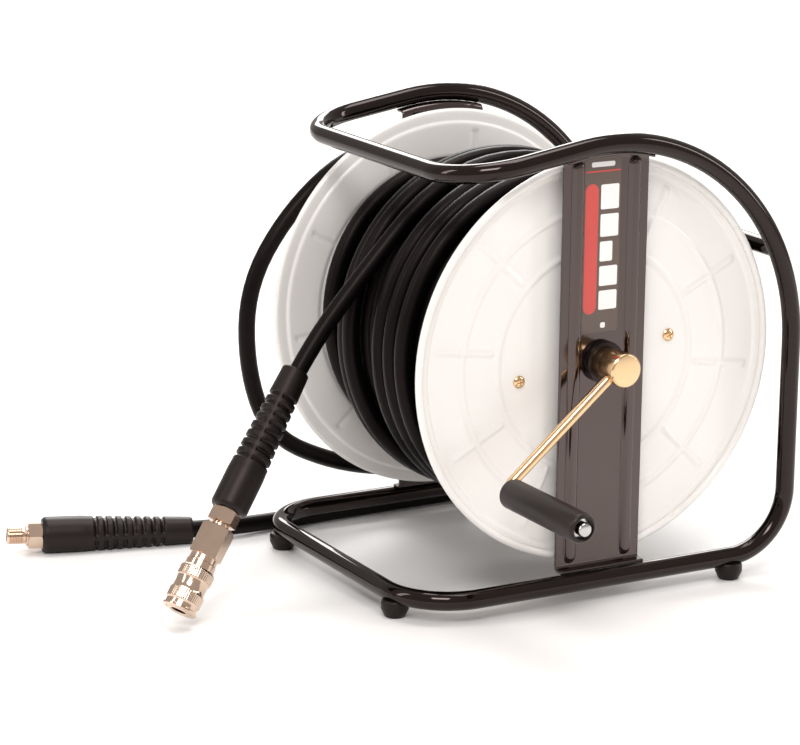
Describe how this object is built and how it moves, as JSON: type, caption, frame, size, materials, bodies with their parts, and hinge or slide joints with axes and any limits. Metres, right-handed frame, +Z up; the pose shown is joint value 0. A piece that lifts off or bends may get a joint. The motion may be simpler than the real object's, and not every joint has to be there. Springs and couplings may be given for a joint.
{
  "type": "hose reel",
  "caption": "Portable hand-crank hose reel: wound hose drum in a bent-tube cage on rubber feet, with lead-in hose, swivel and quick coupler.",
  "frame": {"origin": "on the floor, under the middle of the box round the cage, crank and swivel, without the free hoses", "axes": "+Z up, +Y along the reel's axle towards the swivel side, +X towards the rear, away from the side where the hose leaves"},
  "size_m": [0.5172, 0.4281, 0.3474],
  "materials": {
    "cage_enamel": "gloss enamel on steel tube and pressed plate",
    "flange_paint": "satin white baked paint on pressed sheet",
    "drum_zinc": "bright zinc plated sheet",
    "black_plastic": "satin moulded plastic",
    "black_rubber": "moulded rubber, satin",
    "seal_rubber": "soft seal rubber",
    "hose_cover": "extruded satin hose cover",
    "label_film": "printed film: dark strip with a plain red bar and white blocks",
    "yellow_zinc": "yellow passivated zinc plate",
    "bright_steel": "bright steel",
    "nickel_brass": "nickel plated brass, turned"
  },
  "bodies": {
    "cage": {"near_side_loop": "cage_enamel", "far_side_loop": "cage_enamel", "handle_bar": "cage_enamel", "front_cross_bar": "cage_enamel", "rear_cross_bar": "cage_enamel", "near_side_plate": "cage_enamel", "far_side_plate": "cage_enamel", "near_bearing_bush": "black_plastic", "far_bearing_bush": "black_plastic", "rubber_feet": "black_rubber", "foot_screws": "yellow_zinc", "label_strip": "label_film", "swivel_elbow": "nickel_brass", "swivel_ferrule": "nickel_brass", "lead_in_hose": "hose_cover", "lead_in_bend_restrictor": "black_rubber", "lead_in_hose_stem": "nickel_brass", "inlet_plug": "nickel_brass", "working_hose": "hose_cover", "working_bend_restrictor": "black_rubber", "working_hose_stem": "nickel_brass", "hose_adapter": "nickel_brass", "coupler_body": "nickel_brass", "coupler_balls": "bright_steel", "coupler_nipple_seal": "seal_rubber", "sleeve_spring": "bright_steel", "valve_spring": "bright_steel"},
    "reel": {"drum_core": "drum_zinc", "near_flange": "flange_paint", "far_flange": "flange_paint", "near_flange_screws": "yellow_zinc", "far_flange_screws": "yellow_zinc", "drum_shaft": "bright_steel", "swivel_seal_rings": "seal_rubber", "near_thrust_washer": "bright_steel", "far_thrust_washer": "bright_steel", "drum_outlet_pipe": "nickel_brass", "hose_winding": "hose_cover", "crank_hub": "yellow_zinc", "crank_rod": "yellow_zinc", "crank_set_screw": "yellow_zinc", "grip_washer": "bright_steel", "grip_end_nut": "bright_steel"},
    "grip": {"crank_grip": "black_plastic"},
    "coupler_sleeve": {"coupler_sleeve": "nickel_brass"},
    "coupler_valve": {"coupler_valve": "nickel_brass"}
  },
  "joints": [
    {"name": "reel_spin", "type": "hinge", "parent": "cage", "child": "reel", "pos_m": [-0.0035, 0.04646, 0.1788], "axis": [0, 1, 0], "continuous": true},
    {"name": "grip_spin", "type": "hinge", "parent": "reel", "child": "grip", "pos_m": [-0.09661, -0.15354, 0.10012], "axis": [0, 1, 0], "continuous": true},
    {"name": "sleeve_slide", "type": "slide", "parent": "cage", "child": "coupler_sleeve", "axis": [0.5947, 0.2397, 0.7674], "range_m": [0, 0.004], "stiffness_N_per_m": 900, "springref_m": -0.004, "deforming": ["sleeve_spring"]},
    {"name": "valve_slide", "type": "slide", "parent": "cage", "child": "coupler_valve", "axis": [0.5947, 0.2397, 0.7674], "range_m": [0, 0.004], "stiffness_N_per_m": 400, "springref_m": -0.004, "deforming": ["valve_spring"]}
  ]
}
